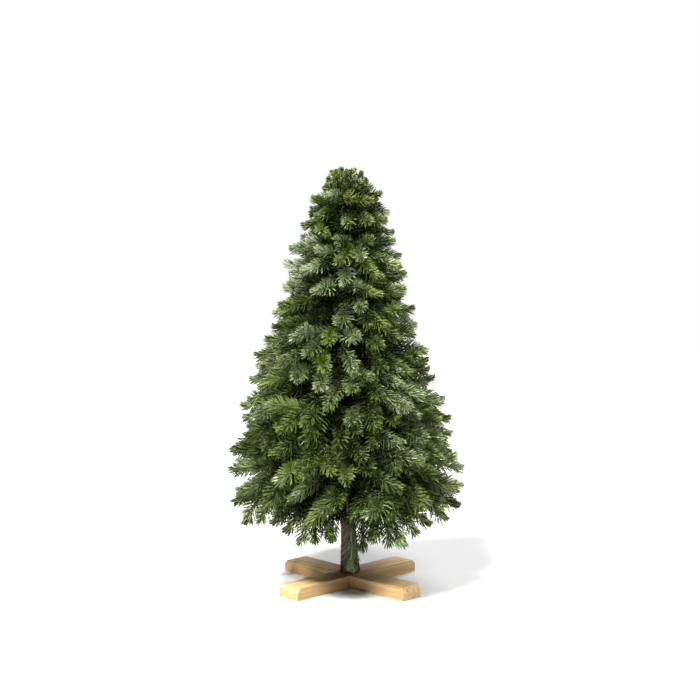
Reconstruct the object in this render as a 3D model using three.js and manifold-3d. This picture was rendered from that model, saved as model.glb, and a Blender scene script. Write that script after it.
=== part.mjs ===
// A table Christmas tree: a small cut fir on a plain wooden cross.
// Units are millimetres, +Z is up, and the origin is the middle of the cross's underside.
import * as THREE from "three";
import { mergeVertices } from "three/addons/utils/BufferGeometryUtils.js";
import Module from "manifold-3d";

const wasm = await Module();
wasm.setup();

// ---- driving dimensions ----

const GAP = 0.35; // clearance between two pieces that meet
const ROOM = 3.2; // open seam between neighbouring masses of foliage

const BOARD = { length: 300, width: 46, thickness: 22, chamfer: 7, turn: Math.PI / 4 };
const SCREW = { offset: 7.5, radius: 2, headRadius: 4, headHeight: 3, length: 46, recess: 1.5 };

const TRUNK = { footRadius: 15.5, tipRadius: 3.5, flare: 3, flareHeight: 40, tipZ: 722, bow: 7, lean: 5 };
const TRUNK_MESH = { sides: 12, rings: 15 };

const CROWN = {
  topZ: 750, // highest needles
  neckZ: 698, // under the blunt tip
  skirtZ: 131, // lower edge of the lowest tier
  neckReach: 58,
  skirtReach: 230,
  tuck: 34, // how far the skirt's lower edge draws back in, over the lowest tuckShare of the height
  tuckShare: 0.12,
  drift: 17, // how far the crown's middle stands off the trunk, to -X, at half height
  neckDroop: 13, // degrees below level
  skirtDroop: 31,
  wave: 7, // how far the seam between two tiers rises and falls
};
const TIER_COUNTS = [6, 6, 5, 5, 4, 4, 3]; // masses in each tier, from the skirt up
const BOUGH_TIERS = 3; // tiers that stand off the trunk on open boughs
const MASS = { blunt: 5.5, lump: 0.11, unevenReach: 0.04, standOff: 5, boughGap: [46, 38, 28] };
// segments round and along a mass, in the tiers on open boughs and in those above them
const MASS_MESH = { low: [16, 8], high: [13, 7] };
const TIP = { footReach: 52, topReach: 40, crownFall: 20, lump: 0.08 };
const BOUGH = { rootRadius: 4.3, endRadius: 3.2, rise: 15, enter: 14, stagger: 4.5, sides: 8, steps: 3 };

// Sprays that hang clear under the skirt: which way they face (degrees), how far out and how low they hang.
const HANGING = [
  { name: "front", azimuth: -88, distance: 98, tipZ: 60, width: 23, depth: 15, swing: -6 },
  { name: "left", azimuth: -118, distance: 160, tipZ: 110, width: 19, depth: 17, swing: 8 },
  { name: "right", azimuth: -62, distance: 150, tipZ: 108, width: 18, depth: 17, swing: 26 },
];

const COLOURS = {
  needles: new THREE.MeshStandardMaterial({ color: 0x53663c, roughness: 0.75, metalness: 0 }),
  bark: new THREE.MeshStandardMaterial({ color: 0x5c4a3a, roughness: 0.9, metalness: 0 }),
  board: new THREE.MeshStandardMaterial({ color: 0xc9a878, roughness: 0.7, metalness: 0 }),
  steel: new THREE.MeshStandardMaterial({ color: 0x9a9c9e, roughness: 0.35, metalness: 1 }),
};

// ---- small helpers ----

const radians = THREE.MathUtils.degToRad;
const mix = THREE.MathUtils.lerp;
const upVector = new THREE.Vector3(0, 0, 1);

function closed(geometry) {
  const bare = geometry.clone();
  bare.deleteAttribute("normal");
  bare.deleteAttribute("uv");
  return mergeVertices(bare, 1e-3);
}

function solidOf(geometry, matrix = new THREE.Matrix4()) {
  const g = closed(geometry).applyMatrix4(matrix);
  const vertProperties = new Float32Array(g.attributes.position.array);
  const triVerts = new Uint32Array(g.index.array);
  return new wasm.Manifold(new wasm.Mesh({ numProp: 3, vertProperties, triVerts }));
}

function geometryOf(solid) {
  const mesh = solid.getMesh();
  const geometry = new THREE.BufferGeometry();
  geometry.setAttribute("position", new THREE.BufferAttribute(mesh.vertProperties, 3));
  geometry.setIndex(new THREE.BufferAttribute(mesh.triVerts, 1));
  geometry.computeVertexNormals();
  return geometry;
}

function named(name, geometry, material) {
  const mesh = new THREE.Mesh(geometry, material);
  mesh.name = name;
  return mesh;
}

// Moves every vertex of a closed copy of the geometry by place(vector).
function reshaped(geometry, place) {
  const g = closed(geometry);
  const at = g.attributes.position;
  const v = new THREE.Vector3();
  for (let i = 0; i < at.count; i++) {
    v.fromBufferAttribute(at, i);
    place(v);
    at.setXYZ(i, v.x, v.y, v.z);
  }
  g.computeVertexNormals();
  return g;
}

// ---- trunk ----

const trunkFootZ = BOARD.thickness + GAP;
const trunkShare = (z) => THREE.MathUtils.clamp((z - trunkFootZ) / (TRUNK.tipZ - trunkFootZ), 0, 1);
const trunkX = (z) => -TRUNK.bow * Math.sin(Math.PI * trunkShare(z)) - TRUNK.lean * trunkShare(z);

function trunkRadius(z) {
  const taper = mix(TRUNK.footRadius, TRUNK.tipRadius, trunkShare(z) ** 0.9);
  return taper + TRUNK.flare * Math.exp(-(z - trunkFootZ) / TRUNK.flareHeight) ** 2;
}

function trunkGeometry(grow = 0) {
  const profile = [new THREE.Vector2(0, trunkFootZ - grow)];
  for (let i = 0; i <= TRUNK_MESH.rings; i++) {
    const z = mix(trunkFootZ, TRUNK.tipZ, (i / TRUNK_MESH.rings) ** 1.2);
    const end = i === 0 ? -grow : i === TRUNK_MESH.rings ? grow : 0;
    profile.push(new THREE.Vector2(trunkRadius(z) + grow, z + end));
  }
  profile.push(new THREE.Vector2(0, TRUNK.tipZ + TRUNK.tipRadius / 2 + grow));
  return reshaped(new THREE.LatheGeometry(profile, TRUNK_MESH.sides), (v) => {
    const z = v.y;
    v.set(v.x + trunkX(z), -v.z, z);
  });
}

// ---- crown: where the tiers lie ----

const tierHeight = (CROWN.neckZ - CROWN.skirtZ) / TIER_COUNTS.length;
const middleOf = (tier) => CROWN.skirtZ + (tier + 0.5) * tierHeight;
const tierLabel = (tier, index) => `tier_${tier + 1}_${index + 1}`;
const crownShare = (z) => (z - CROWN.skirtZ) / (CROWN.neckZ - CROWN.skirtZ);
const crownX = (z) => -CROWN.drift * Math.sin(Math.PI * THREE.MathUtils.clamp(crownShare(z), 0, 1));

function reachAt(z) {
  const share = THREE.MathUtils.clamp(crownShare(z), 0, 1.05);
  const tucked = Math.max(0, 1 - share / CROWN.tuckShare) ** 2;
  return mix(CROWN.skirtReach, CROWN.neckReach, share) - CROWN.tuck * tucked;
}

// Height of the seam under tier k, at a distance and azimuth from a point fromX on the X axis.
function seamZ(k, distance, azimuth, fromX) {
  const outer = CROWN.skirtZ + k * tierHeight;
  const droop = radians(mix(CROWN.skirtDroop, CROWN.neckDroop, crownShare(outer)));
  const wave = (k === 0 || k === TIER_COUNTS.length ? 0.4 : 1) * CROWN.wave;
  const x = fromX + distance * Math.cos(azimuth) - crownX(outer);
  const y = distance * Math.sin(azimuth);
  const rise = Math.tan(droop) * (reachAt(outer) - Math.hypot(x, y));
  return outer + rise + wave * Math.sin(3 * Math.atan2(y, x) + 2.1 * k);
}

function azimuthOf(tier, index) {
  const stagger = tier % 2 ? 0.5 : 0;
  return (2 * Math.PI * (index + stagger)) / TIER_COUNTS[tier] - Math.PI / 2 + 0.23 * tier;
}

// Stretches a direction on a ball to the surface of a blunt, nearly boxed one.
function blunted(...direction) {
  return direction.reduce((sum, part) => sum + Math.abs(part) ** MASS.blunt, 0) ** (-1 / MASS.blunt);
}

// How far a tier's masses start from the crown's middle.
function massInner(tier) {
  const open = tier < BOUGH_TIERS ? MASS.boughGap[tier] : MASS.standOff;
  return trunkRadius(middleOf(tier)) + TRUNK.bow + open;
}

// One mass fills its share of a tier: a blunt, lumpy pad whose outer end follows the crown's slope.
function massGeometry(tier, index, grow = 0) {
  const count = TIER_COUNTS[tier];
  const middleAzimuth = azimuthOf(tier, index);
  const phase = 1.7 * tier + 2.9 * index;
  const midZ = middleOf(tier);
  const own = 1 + MASS.unevenReach * Math.sin(2.3 * phase);
  const inner = massInner(tier);
  const seam = ROOM / 2 - grow;
  const segments = tier < BOUGH_TIERS ? MASS_MESH.low : MASS_MESH.high;
  return reshaped(new THREE.SphereGeometry(1, ...segments), (v) => {
    // y runs from the trunk (-1) to the tip (1), x round the crown, z up
    const round = blunted(v.x, v.y, v.z);
    const outward = THREE.MathUtils.smoothstep(v.y, -0.4, 0.8);
    const bumps = 0.5 + 0.5 * Math.sin(5.2 * v.x + phase) * Math.sin(4.6 * v.z + 1.3 * phase);
    const lump = 1 - MASS.lump * outward * bumps;
    const side = -v.x * round * lump;
    const rise = v.z * round * lump;
    const run = 0.5 + 0.5 * v.y * round * (outward > 0 ? lump : 1);
    const outer = reachAt(midZ + (rise * tierHeight) / 2) * own;
    const distance = mix(inner - grow, outer + grow, run);
    const halfAngle = Math.PI / count - seam / distance;
    const azimuth = side * halfAngle;
    const low = seamZ(tier, distance, middleAzimuth + azimuth, crownX(midZ)) + seam;
    const high = seamZ(tier + 1, distance, middleAzimuth + azimuth, crownX(midZ)) - seam;
    v.set(distance * Math.cos(azimuth), distance * Math.sin(azimuth), mix(low, high, 0.5 + 0.5 * rise));
  });
}

// ---- boughs ----

// A tapering limb from the trunk's middle out along +X to (length, 0, endZ), rising a little at first.
function boughGeometry(length, endZ, rootX) {
  const curve = new THREE.QuadraticBezierCurve3(
    new THREE.Vector3(0, 0, endZ - BOUGH.rise),
    new THREE.Vector3(length * 0.5, 0, endZ + BOUGH.rise * 0.1),
    new THREE.Vector3(length, 0, endZ),
  );
  const section = new THREE.Shape();
  section.absarc(0, 0, BOUGH.rootRadius, 0, 2 * Math.PI);
  const straight = new THREE.ExtrudeGeometry(section, {
    steps: BOUGH.steps,
    extrudePath: curve,
    bevelEnabled: false,
    curveSegments: BOUGH.sides / 2,
  });
  return reshaped(straight, (v) => {
    const share = THREE.MathUtils.clamp((v.x - rootX) / (length - rootX), 0, 1);
    const thin = mix(1, BOUGH.endRadius / BOUGH.rootRadius, share);
    const middle = curve.getPoint(THREE.MathUtils.clamp(v.x / length, 0, 1));
    v.set(v.x, middle.y + (v.y - middle.y) * thin, middle.z + (v.z - middle.z) * thin);
  });
}

// The bough that carries a mass, cut off at the trunk and where it enters the mass.
function boughOf(tier, index, massHolder) {
  const midZ = middleOf(tier);
  const enter = massInner(tier) + BOUGH.enter;
  const stagger = index % 2 ? BOUGH.stagger : -BOUGH.stagger;
  const endZ = seamZ(tier, enter, azimuthOf(tier, index), crownX(midZ)) + tierHeight / 2 + stagger;
  const end = new THREE.Vector3(enter, 0, endZ).applyMatrix4(massHolder.matrix);
  const rootX = trunkX(midZ);
  const holder = new THREE.Group();
  holder.position.set(rootX, 0, 0);
  holder.rotation.z = Math.atan2(end.y, end.x - rootX);
  holder.updateMatrix();
  const inFrame = holder.matrix.clone().invert();
  const limb = solidOf(boughGeometry(Math.hypot(end.x - rootX, end.y), endZ, trunkRadius(midZ)))
    .subtract(solidOf(trunkGeometry(GAP), inFrame))
    .subtract(solidOf(massGeometry(tier, index, GAP), inFrame.multiply(massHolder.matrix)));
  const largest = limb.decompose().sort((a, b) => b.volume() - a.volume())[0];
  holder.add(named(`bough_${tierLabel(tier, index)}`, geometryOf(largest), COLOURS.bark));
  return holder;
}

// ---- hanging sprays ----

function hangingGeometry(spray) {
  const topZ = seamZ(0, spray.distance + spray.depth, radians(spray.azimuth), 0) - ROOM;
  const length = topZ - spray.tipZ;
  return reshaped(new THREE.SphereGeometry(1, 10, 8), (v) => {
    const down = 0.5 - 0.5 * v.y; // 0 at the top of the spray, 1 at its tip
    const wide = 1 + 0.12 * Math.sin(7 * down + 3 * v.x);
    const taper = mix(1, 0.72, down);
    v.set(
      spray.depth * v.z * wide * taper + spray.swing * down,
      spray.width * v.x * wide * taper,
      topZ - down * length,
    );
  });
}

// ---- stand ----

// A board of the cross in side view, with its half-lap notch open to the top or to the underside.
function boardGeometry(notchOnTop) {
  const half = BOARD.length / 2;
  const notch = BOARD.width / 2 + GAP;
  const lap = BOARD.thickness / 2 + (notchOnTop ? -GAP / 2 : GAP / 2);
  const shape = new THREE.Shape();
  shape.moveTo(-half, 0);
  if (!notchOnTop) {
    shape.lineTo(-notch, 0);
    shape.lineTo(-notch, lap);
    shape.lineTo(notch, lap);
    shape.lineTo(notch, 0);
  }
  shape.lineTo(half, 0);
  shape.lineTo(half, BOARD.thickness - BOARD.chamfer);
  shape.lineTo(half - BOARD.chamfer, BOARD.thickness);
  if (notchOnTop) {
    shape.lineTo(notch, BOARD.thickness);
    shape.lineTo(notch, lap);
    shape.lineTo(-notch, lap);
    shape.lineTo(-notch, BOARD.thickness);
  }
  shape.lineTo(-half + BOARD.chamfer, BOARD.thickness);
  shape.lineTo(-half, BOARD.thickness - BOARD.chamfer);
  shape.closePath();
  const board = new THREE.ExtrudeGeometry(shape, { depth: BOARD.width, bevelEnabled: false });
  return board.translate(0, 0, -BOARD.width / 2).rotateX(Math.PI / 2);
}

function screwGeometry(grow = 0) {
  const { radius, headRadius, headHeight, length, recess } = SCREW;
  const base = grow > 0 ? -1 : recess; // a grown screw is a hole, open at the underside
  const profile = [
    [0, base],
    [headRadius + grow, base],
    [headRadius + grow, recess + headHeight * 0.4 + grow],
    [radius + grow, recess + headHeight + grow],
    [radius + grow, recess + length - 6],
    [0, recess + length + grow],
  ];
  return new THREE.LatheGeometry(profile.map(([r, z]) => new THREE.Vector2(r, z)), 10).rotateX(Math.PI / 2);
}

const screwPlaces = [-1, 1].map((side) => {
  const along = side * SCREW.offset;
  return new THREE.Vector3(along * Math.cos(-BOARD.turn), along * Math.sin(-BOARD.turn), 0);
});

function drilled(solid) {
  return screwPlaces.reduce((left, p) => {
    const hole = solidOf(screwGeometry(GAP), new THREE.Matrix4().makeTranslation(p.x, p.y, p.z));
    return left.subtract(hole);
  }, solid);
}

// ---- assembly ----

const tree = new THREE.Group();

const stand = new THREE.Group();
[
  ["stand_board_upper", false, BOARD.turn],
  ["stand_board_lower", true, -BOARD.turn],
].forEach(([name, notchOnTop, turn]) => {
  const placed = new THREE.Matrix4().makeRotationZ(turn);
  const solid = drilled(solidOf(boardGeometry(notchOnTop), placed));
  stand.add(named(name, geometryOf(solid), COLOURS.board));
});
screwPlaces.forEach((place, i) => {
  const screw = named(`stand_screw_${i + 1}`, screwGeometry(), COLOURS.steel);
  screw.position.copy(place);
  stand.add(screw);
});
tree.add(stand);

tree.add(named("trunk", geometryOf(drilled(solidOf(trunkGeometry()))), COLOURS.bark));

TIER_COUNTS.forEach((count, tier) => {
  for (let index = 0; index < count; index++) {
    const holder = new THREE.Group();
    holder.position.set(crownX(middleOf(tier)), 0, 0);
    holder.rotation.z = azimuthOf(tier, index);
    holder.updateMatrix();
    holder.add(named(`foliage_${tierLabel(tier, index)}`, massGeometry(tier, index), COLOURS.needles));
    tree.add(holder);
    if (tier < BOUGH_TIERS) tree.add(boughOf(tier, index, holder));
  }
});

// The blunt tip sits on the top seam, and the trunk's leader ends inside it.
const tipGeometry = reshaped(new THREE.SphereGeometry(1, 16, 9), (v) => {
  const round = blunted(Math.hypot(v.x, v.z), v.y, 0);
  const azimuth = Math.atan2(-v.z, v.x);
  const lump = 1 - TIP.lump * (0.5 + 0.5 * Math.sin(5 * azimuth + 6 * v.y));
  const reach = mix(TIP.footReach, TIP.topReach, 0.5 + 0.5 * v.y * round);
  const distance = reach * Math.hypot(v.x, v.z) * round * lump;
  const low = seamZ(TIER_COUNTS.length, distance, azimuth, -TRUNK.lean) + ROOM;
  const high = CROWN.topZ - TIP.crownFall * (distance / reach) ** 2;
  const x = distance * Math.cos(azimuth) - TRUNK.lean;
  v.set(x, distance * Math.sin(azimuth), mix(low, high, 0.5 + 0.5 * v.y * round));
});
const tipSolid = solidOf(tipGeometry).subtract(solidOf(trunkGeometry(GAP)));
tree.add(named("foliage_tip", geometryOf(tipSolid), COLOURS.needles));

HANGING.forEach((spray) => {
  const holder = new THREE.Group();
  const azimuth = radians(spray.azimuth);
  holder.position.set(spray.distance * Math.cos(azimuth), spray.distance * Math.sin(azimuth), 0);
  holder.rotation.z = azimuth;
  holder.add(named(`hanging_spray_${spray.name}`, hangingGeometry(spray), COLOURS.needles));
  tree.add(holder);
});

export default tree;
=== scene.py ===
"""A table Christmas tree: a small, dense cut fir on a plain wooden cross.

The CAD part gives the trunk, the main boughs, the cross and the closed masses of foliage. Here
each mass is replaced by limbs, twigs, needles and buds that grow out of the boughs by a seeded
rule, and the trunk and boughs are replaced by meshes with bark relief. Lengths are in metres.
"""

import logging
import math
from dataclasses import dataclass, field
from enum import Enum

import bpy
import numpy as np
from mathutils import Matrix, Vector


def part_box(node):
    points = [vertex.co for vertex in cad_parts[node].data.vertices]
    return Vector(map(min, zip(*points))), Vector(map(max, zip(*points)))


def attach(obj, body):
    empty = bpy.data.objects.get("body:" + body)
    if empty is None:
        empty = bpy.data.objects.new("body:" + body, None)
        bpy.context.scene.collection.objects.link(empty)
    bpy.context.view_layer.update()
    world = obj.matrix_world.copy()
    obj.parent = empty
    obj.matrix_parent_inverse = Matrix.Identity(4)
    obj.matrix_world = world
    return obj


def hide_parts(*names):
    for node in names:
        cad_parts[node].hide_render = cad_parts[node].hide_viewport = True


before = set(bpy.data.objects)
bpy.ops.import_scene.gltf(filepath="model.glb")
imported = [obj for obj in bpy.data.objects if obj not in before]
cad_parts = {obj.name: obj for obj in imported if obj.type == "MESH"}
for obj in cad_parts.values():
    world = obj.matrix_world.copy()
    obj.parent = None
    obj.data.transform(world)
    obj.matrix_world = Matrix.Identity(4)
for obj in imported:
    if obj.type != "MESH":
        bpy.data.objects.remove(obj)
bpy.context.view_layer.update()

LOG = logging.getLogger("christmas_tree")
UP = np.array([0.0, 0.0, 1.0])
LEVEL = np.array([1.0, 1.0, 0.0])
GOLDEN_ANGLE = math.radians(137.508)
CARRIED = ("lie", "face", "length", "bend", "tint", "along", "underside", "thickness")

Colour = tuple[float, float, float]
Line = tuple[np.ndarray, np.ndarray]  # a line's points, and the radius at each
Ray = tuple[np.ndarray, np.ndarray]  # a place, and a direction there


# ---------------------------------------------------------------- helpers


def unit(vectors: np.ndarray) -> np.ndarray:
    """Scales vectors to length 1.

    Args:
        vectors: one vector or an array of them, along the last axis.

    Returns:
        The same directions, with length 1.
    """
    return vectors / np.maximum(np.linalg.norm(vectors, axis=-1, keepdims=True), 1e-9)


def smooth(low: float, high: float, value: np.ndarray | float) -> np.ndarray:
    """Rises softly from 0 to 1.

    Args:
        low: the value up to which the result is 0.
        high: the value from which the result is 1.
        value: the value or values to judge.

    Returns:
        The share, from 0 to 1.
    """
    share = np.clip((np.asarray(value, dtype=float) - low) / (high - low), 0.0, 1.0)
    return share * share * (3.0 - 2.0 * share)


def bezier(points: list[np.ndarray], steps: int) -> np.ndarray:
    """Traces a cubic Bezier path.

    Args:
        points: the four control points.
        steps: how many points to return.

    Returns:
        The path, one row a point.
    """
    t = np.linspace(0.0, 1.0, steps)[:, None]
    a, b, c, d = points
    return (1 - t) ** 3 * a + 3 * (1 - t) ** 2 * t * b + 3 * (1 - t) * t**2 * c + t**3 * d


def path_lengths(path: np.ndarray) -> np.ndarray:
    """Distance run along a path at each of its points, from 0."""
    steps = np.linalg.norm(np.diff(path, axis=0), axis=1)
    return np.concatenate([[0.0], np.cumsum(steps)])


def triangles_of(node: str) -> np.ndarray:
    """Reads a CAD node's triangles.

    Args:
        node: the node's name.

    Returns:
        An array of triangles, each three corners in metres.
    """
    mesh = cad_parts[node].data
    points = np.empty(len(mesh.vertices) * 3)
    mesh.vertices.foreach_get("co", points)
    mesh.calc_loop_triangles()
    picks = np.empty(len(mesh.loop_triangles) * 3, dtype=np.int32)
    mesh.loop_triangles.foreach_get("vertices", picks)
    return points.reshape(-1, 3)[picks.reshape(-1, 3)]


def nodes_named(start: str) -> list[str]:
    """The names of the CAD nodes that begin with a word, in order."""
    return sorted(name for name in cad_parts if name.startswith(start))


def new_object(name: str, mesh: bpy.types.Mesh) -> bpy.types.Object:
    """Puts a mesh into the scene.

    Args:
        name: the object's and the mesh's name.
        mesh: the mesh.

    Returns:
        The new object, at the origin.
    """
    mesh.name = name
    made = bpy.data.objects.new(name, mesh)
    bpy.context.scene.collection.objects.link(made)
    return made


def cloud_mesh(name: str, points: np.ndarray, edges: np.ndarray, values: dict) -> bpy.types.Mesh:
    """Makes a mesh of points and edges that carries named values.

    Args:
        name: the mesh's name.
        points: one row a point.
        edges: pairs of point numbers, or an empty array.
        values: named arrays with one number, whole number or vector a point.

    Returns:
        The mesh.
    """
    mesh = bpy.data.meshes.new(name)
    mesh.from_pydata(points.tolist(), edges.tolist(), [])
    for key, value in values.items():
        if value.ndim == 2:
            mesh.attributes.new(key, "FLOAT_VECTOR", "POINT").data.foreach_set("vector", value.ravel())
        elif value.dtype.kind == "i":
            mesh.attributes.new(key, "INT", "POINT").data.foreach_set("value", value)
        else:
            mesh.attributes.new(key, "FLOAT", "POINT").data.foreach_set("value", value)
    return mesh


def finish_piece(piece: bpy.types.Object, slot: str, *nodes: str) -> None:
    """Ties a finished piece to the tree's body, and reports it.

    Args:
        piece: the piece.
        slot: its finish's slot; not used.
        nodes: the CAD nodes that it stands for.
    """
    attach(piece, "root")
    if nodes:
        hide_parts(*nodes)
    LOG.info("%s: %d faces", piece.name, len(piece.data.polygons))


# ---------------------------------------------------------------- finishes


@dataclass(frozen=True)
class PlainFinish:
    """A finish of one plain colour.

    Attributes:
        name: the material's name.
        colour: linear red, green and blue.
        roughness: from 0, mirror-like, to 1.
        specular: strength of the plain reflection.
    """

    name: str
    colour: Colour
    roughness: float = 0.6
    specular: float = 0.35

    def material(self) -> bpy.types.Material:
        """Builds the material, or finds the one already built.

        Returns:
            The material.
        """
        if self.name in bpy.data.materials:
            return bpy.data.materials[self.name]
        made = bpy.data.materials.new(self.name)
        made.use_nodes = True
        made.diffuse_color = (*self.colour, 1.0)
        shader = made.node_tree.nodes["Principled BSDF"]
        shader.inputs["Base Color"].default_value = (*self.colour, 1.0)
        shader.inputs["Roughness"].default_value = self.roughness
        shader.inputs["Specular IOR Level"].default_value = self.specular
        return made


class Tint(Enum):
    """The colours of needles: upper face, then paler underside; the darkest, a near-black green, is
    painted shade for needles inside the crown and in the gaps.
    """

    # painted shade: a near-black green for needles that stand in the crown's shade
    DEEP = ((0.020, 0.036, 0.007), (0.034, 0.054, 0.015))
    LEAF = ((0.084, 0.124, 0.026), (0.108, 0.148, 0.044))
    FRESH = ((0.136, 0.204, 0.034), (0.168, 0.232, 0.058))
    OLIVE = ((0.166, 0.212, 0.044), (0.195, 0.236, 0.072))
    GREY = ((0.136, 0.192, 0.072), (0.185, 0.238, 0.110))
    FROST = ((0.240, 0.300, 0.146), (0.330, 0.385, 0.230))

    def companion(self) -> "Tint":
        """The darker colour of odd needles among a spray's own: painted shade between neighbouring
        needles.
        """
        return {"LEAF": Tint.DEEP, "FROST": Tint.GREY, "DEEP": Tint.DEEP}.get(self.name, Tint.LEAF)

    def young(self) -> "Tint":
        """The colour of the last needles, round the spray's tip."""
        return {"LEAF": Tint.FRESH, "FRESH": Tint.OLIVE, "GREY": Tint.FROST}.get(self.name, self)

    def finish(self, underside: bool) -> PlainFinish:
        """The finish of one side of the needles."""
        name = f"needle_{self.name.lower()}_{'underside' if underside else 'upper'}"
        # the painted-shade needles are dull, so that they show no grey sheen
        roughness, specular = (0.7, 0.1) if self is Tint.DEEP else (0.34, 0.55)
        return PlainFinish(name, self.value[int(underside)], roughness, specular)


@dataclass(frozen=True)
class BarkFinish:
    """Bark: two browns mixed by a fine noise, rough and dull.

    Attributes:
        name: the material's name.
        dark: the furrows' linear colour.
        light: the ridges' linear colour.
        scale: the noise's scale, per metre.
    """

    name: str
    dark: Colour
    light: Colour
    scale: float

    def material(self) -> bpy.types.Material:
        """Builds the material."""
        return streaked(self.name, self.dark, self.light, self.scale, (1.0, 1.0, 0.35), 0.88, 0.25)[0]


@dataclass(frozen=True)
class SawnWoodFinish:
    """Sawn softwood: long streaks of two yellows along the board.

    Attributes:
        name: the material's name.
        dark: the late wood's linear colour.
        light: the early wood's linear colour.
        turn: the board's turn round Z, in radians.
    """

    name: str
    dark: Colour
    light: Colour
    turn: float

    def material(self) -> bpy.types.Material:
        """Builds the material, with a slight relief along its grain.

        Returns:
            The material.
        """
        made, grain = streaked(self.name, self.dark, self.light, 210.0, (0.035, 1.0, 1.0), 0.62, 0.3)
        grain.inputs["Turn"].default_value = (0.0, 0.0, -self.turn)
        tree = made.node_tree
        bump = tree.nodes.new("ShaderNodeBump")
        bump.inputs["Distance"].default_value = 0.0004
        bump.inputs["Strength"].default_value = 0.35
        tree.links.new(grain.outputs["Mask"], bump.inputs["Height"])
        tree.links.new(bump.outputs["Normal"], tree.nodes["Principled BSDF"].inputs["Normal"])
        return made


def streaked(
    name: str,
    dark: Colour,
    light: Colour,
    fineness: float,
    stretch: tuple[float, float, float],
    roughness: float,
    specular: float,
) -> tuple[bpy.types.Material, bpy.types.Node]:
    """Makes a material of two colours mixed in streaks.

    Args:
        name: the material's name.
        dark: the darker linear colour.
        light: the lighter linear colour.
        fineness: the noise's scale, per metre.
        stretch: factors on X, Y and Z. A small one draws the streaks out along that axis.
        roughness: from 0, mirror-like, to 1.
        specular: strength of the plain reflection.

    Returns:
        The material, and its node of streaks.
    """
    made = bpy.data.materials.new(name)
    made.use_nodes = True
    tree = made.node_tree
    shader = tree.nodes["Principled BSDF"]
    shader.inputs["Roughness"].default_value = roughness
    shader.inputs["Specular IOR Level"].default_value = specular
    streaks = tree.nodes.new("ShaderNodeGroup")
    streaks.node_tree = streak_group()
    streaks.inputs["Fineness"].default_value = fineness
    streaks.inputs["Stretch"].default_value = stretch
    streaks.inputs["Dark"].default_value = (*dark, 1.0)
    streaks.inputs["Light"].default_value = (*light, 1.0)
    tree.links.new(streaks.outputs["Colour"], shader.inputs["Base Color"])
    return made, streaks


def streak_group() -> bpy.types.ShaderNodeTree:
    """Builds once the group that mixes two colours by a stretched noise.

    Returns:
        The group, with inputs Turn, Stretch, Fineness, Dark and Light, and outputs Colour and Mask.
    """
    name = "wood_streaks"
    if name in bpy.data.node_groups:
        return bpy.data.node_groups[name]
    tree = bpy.data.node_groups.new(name, "ShaderNodeTree")
    for label, kind in (
        ("Turn", "NodeSocketVector"),
        ("Stretch", "NodeSocketVector"),
        ("Fineness", "NodeSocketFloat"),
        ("Dark", "NodeSocketColor"),
        ("Light", "NodeSocketColor"),
    ):
        tree.interface.new_socket(label, in_out="INPUT", socket_type=kind)
    tree.interface.new_socket("Colour", in_out="OUTPUT", socket_type="NodeSocketColor")
    tree.interface.new_socket("Mask", in_out="OUTPUT", socket_type="NodeSocketFloat")
    given = tree.nodes.new("NodeGroupInput")
    place = tree.nodes.new("ShaderNodeTexCoord")
    turned = tree.nodes.new("ShaderNodeMapping")
    stretched = tree.nodes.new("ShaderNodeVectorMath")
    stretched.operation = "MULTIPLY"
    noise = tree.nodes.new("ShaderNodeTexNoise")
    noise.inputs["Detail"].default_value = 5.0
    noise.inputs["Distortion"].default_value = 0.6
    ramp = tree.nodes.new("ShaderNodeMapRange")
    ramp.inputs["From Min"].default_value = 0.36
    ramp.inputs["From Max"].default_value = 0.64
    blend = tree.nodes.new("ShaderNodeMix")
    blend.data_type = "RGBA"
    given_out = tree.nodes.new("NodeGroupOutput")
    link = tree.links.new
    link(place.outputs["Object"], turned.inputs["Vector"])
    link(given.outputs["Turn"], turned.inputs["Rotation"])
    link(turned.outputs["Vector"], stretched.inputs[0])
    link(given.outputs["Stretch"], stretched.inputs[1])
    link(stretched.outputs["Vector"], noise.inputs["Vector"])
    link(given.outputs["Fineness"], noise.inputs["Scale"])
    link(noise.outputs["Fac"], ramp.inputs["Value"])
    link(ramp.outputs["Result"], blend.inputs["Factor"])
    link(given.outputs["Dark"], blend.inputs["A"])
    link(given.outputs["Light"], blend.inputs["B"])
    link(blend.outputs["Result"], given_out.inputs["Colour"])
    link(ramp.outputs["Result"], given_out.inputs["Mask"])
    return tree


# ---------------------------------------------------------------- geometry node trees


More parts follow.
